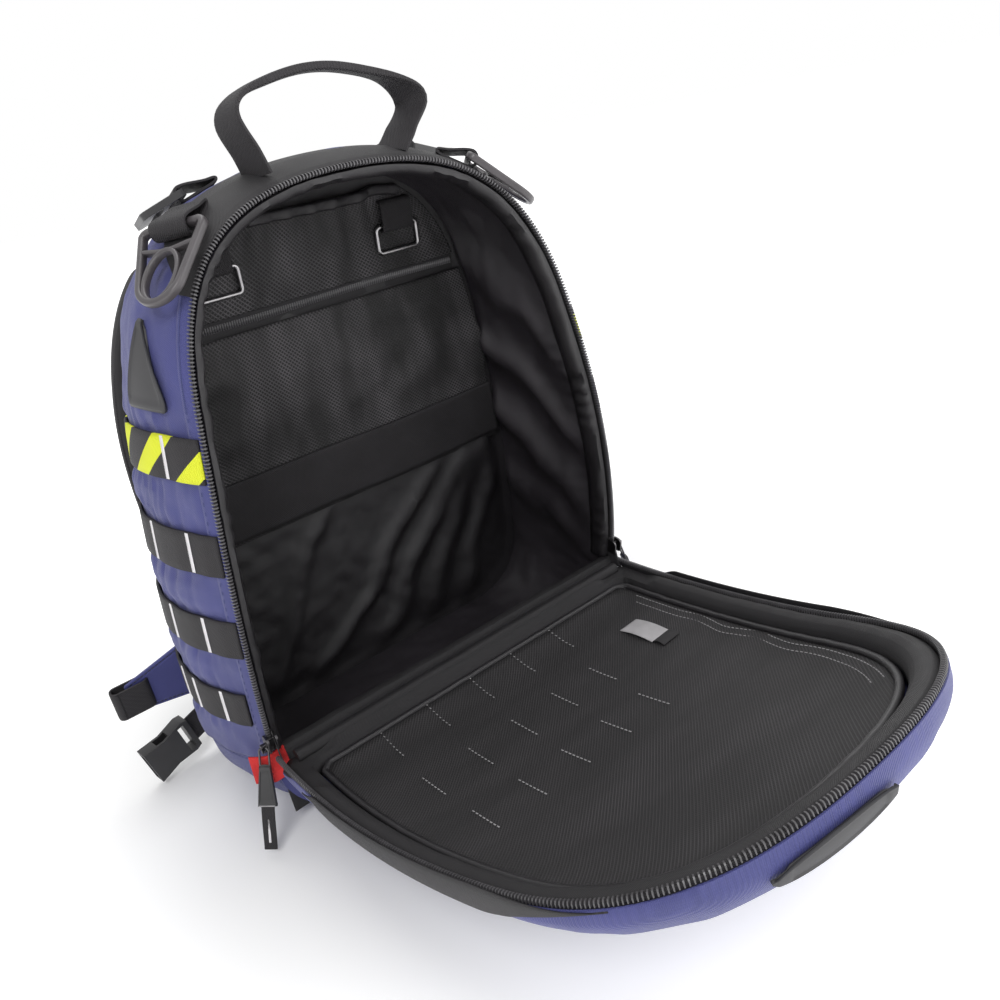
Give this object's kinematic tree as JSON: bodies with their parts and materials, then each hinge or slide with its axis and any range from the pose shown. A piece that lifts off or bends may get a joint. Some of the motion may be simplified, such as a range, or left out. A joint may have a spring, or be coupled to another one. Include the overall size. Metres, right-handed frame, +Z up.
{
  "type": "trauma backpack",
  "caption": "Clamshell trauma backpack with a front lid on a low hinge, zip sliders, webbing rows, inner pocket wall, carry rings and a padded harness.",
  "frame": {"origin": "middle of the base's underside", "axes": "+Z up; the opening and the open lid face -Y; +X is the wearer's left, on the right of the picture"},
  "size_m": [0.4299, 0.4779, 0.4601],
  "materials": {
    "navy_nylon": "woven, matt",
    "black_nylon": "woven, slight sheen",
    "black_mesh": "open mesh, matt",
    "black_webbing": "woven webbing",
    "hi_vis_webbing": "striped webbing",
    "dark_plastic": "moulded, satin",
    "grey_plastic": "moulded, satin",
    "black_rubber": "moulded, matt",
    "dark_steel": "plated, satin",
    "red_tab": "woven ribbon",
    "care_label": "woven ribbon"
  },
  "bodies": {
    "pack": {"side_gusset": "navy_nylon", "base_panel": "navy_nylon", "anchor_wing_left": "navy_nylon", "anchor_wing_right": "navy_nylon", "front_sill": "navy_nylon", "body_lining": "black_nylon", "back_panel": "black_nylon", "body_zip": "black_nylon", "pocket_zip": "black_nylon", "shoulder_strap_left": "black_nylon", "shoulder_strap_right": "black_nylon", "mesh_pocket": "black_mesh", "back_pad_left": "black_mesh", "back_pad_right": "black_mesh", "molle_left_2": "black_webbing", "molle_left_3": "black_webbing", "molle_left_4": "black_webbing", "molle_right_2": "black_webbing", "molle_right_3": "black_webbing", "molle_right_4": "black_webbing", "carry_handle": "black_webbing", "lifter_loop_left": "black_webbing", "lifter_loop_right": "black_webbing", "ring_loop_left": "black_webbing", "ring_loop_right": "black_webbing", "elastic_band": "black_webbing", "ring_tab_left": "black_webbing", "ring_tab_right": "black_webbing", "strap_webbing_left": "black_webbing", "strap_webbing_right": "black_webbing", "hip_strap_left": "black_webbing", "hip_strap_right": "black_webbing", "molle_left_1": "hi_vis_webbing", "molle_right_1": "hi_vis_webbing", "lifter_buckle_left": "dark_plastic", "lifter_buckle_right": "dark_plastic", "strap_adjuster_left": "dark_plastic", "strap_adjuster_right": "dark_plastic", "hip_buckle_left": "dark_plastic", "hip_buckle_right": "dark_plastic", "side_patch": "black_rubber", "zip_tab": "red_tab"},
    "lid": {"lid_shell": "navy_nylon", "lid_zip": "black_nylon", "lid_lining": "black_mesh", "lid_binding": "black_nylon", "lid_badge": "black_rubber", "care_label": "care_label", "lid_molle_1": "black_webbing", "lid_molle_2": "black_webbing", "lid_molle_3": "black_webbing"},
    "zip_slider_left": {"zip_slider_left": "dark_steel"},
    "zip_slider_right": {"zip_slider_right": "dark_steel"},
    "zip_pull_left": {"zip_pull_left": "dark_plastic"},
    "zip_pull_right": {"zip_pull_right": "dark_plastic"},
    "carry_ring_left": {"carry_ring_left": "grey_plastic"},
    "carry_ring_right": {"carry_ring_right": "grey_plastic"},
    "inner_ring_left": {"inner_ring_left": "dark_steel"},
    "inner_ring_right": {"inner_ring_right": "dark_steel"},
    "pocket_slider": {"pocket_slider": "dark_steel"}
  },
  "joints": [
    {"name": "lid_hinge", "type": "hinge", "parent": "pack", "child": "lid", "pos_m": [0, -0.075, 0.07], "axis": [-1, 0, 0], "range_deg": [0, 76]},
    {"name": "zip_slide_left", "type": "slide", "parent": "pack", "child": "zip_slider_left", "axis": [0, -0.202, 0.9794], "range_m": [0, 0.02]},
    {"name": "pull_swing_left", "type": "hinge", "parent": "zip_slider_left", "child": "zip_pull_left", "pos_m": [-0.15866, -0.07703, 0.07853], "axis": [0, 1, 0], "range_deg": [0, 110]},
    {"name": "ring_swing_left", "type": "hinge", "parent": "pack", "child": "carry_ring_left", "pos_m": [-0.1027, -0.05686, 0.38751], "axis": [-0.5605, 0.8257, -0.0638], "range_deg": [0, 60]},
    {"name": "inner_ring_swing_left", "type": "hinge", "parent": "pack", "child": "inner_ring_left", "pos_m": [-0.069, 0.0068, 0.3557], "axis": [-1, 0, 0], "range_deg": [0, 75]},
    {"name": "zip_slide_right", "type": "slide", "parent": "pack", "child": "zip_slider_right", "axis": [0, -0.202, 0.9794], "range_m": [0, 0.02]},
    {"name": "pull_swing_right", "type": "hinge", "parent": "zip_slider_right", "child": "zip_pull_right", "pos_m": [0.15866, -0.07703, 0.07853], "axis": [0, -1, 0], "range_deg": [0, 110]},
    {"name": "ring_swing_right", "type": "hinge", "parent": "pack", "child": "carry_ring_right", "pos_m": [0.09726, -0.05639, 0.38766], "axis": [-0.5149, -0.8438, 0.151], "range_deg": [0, 60]},
    {"name": "inner_ring_swing_right", "type": "hinge", "parent": "pack", "child": "inner_ring_right", "pos_m": [0.069, 0.0068, 0.3557], "axis": [-1, 0, 0], "range_deg": [0, 75]},
    {"name": "pocket_slide", "type": "slide", "parent": "pack", "child": "pocket_slider", "axis": [1, 0, 0], "range_m": [0, 0.205]}
  ]
}
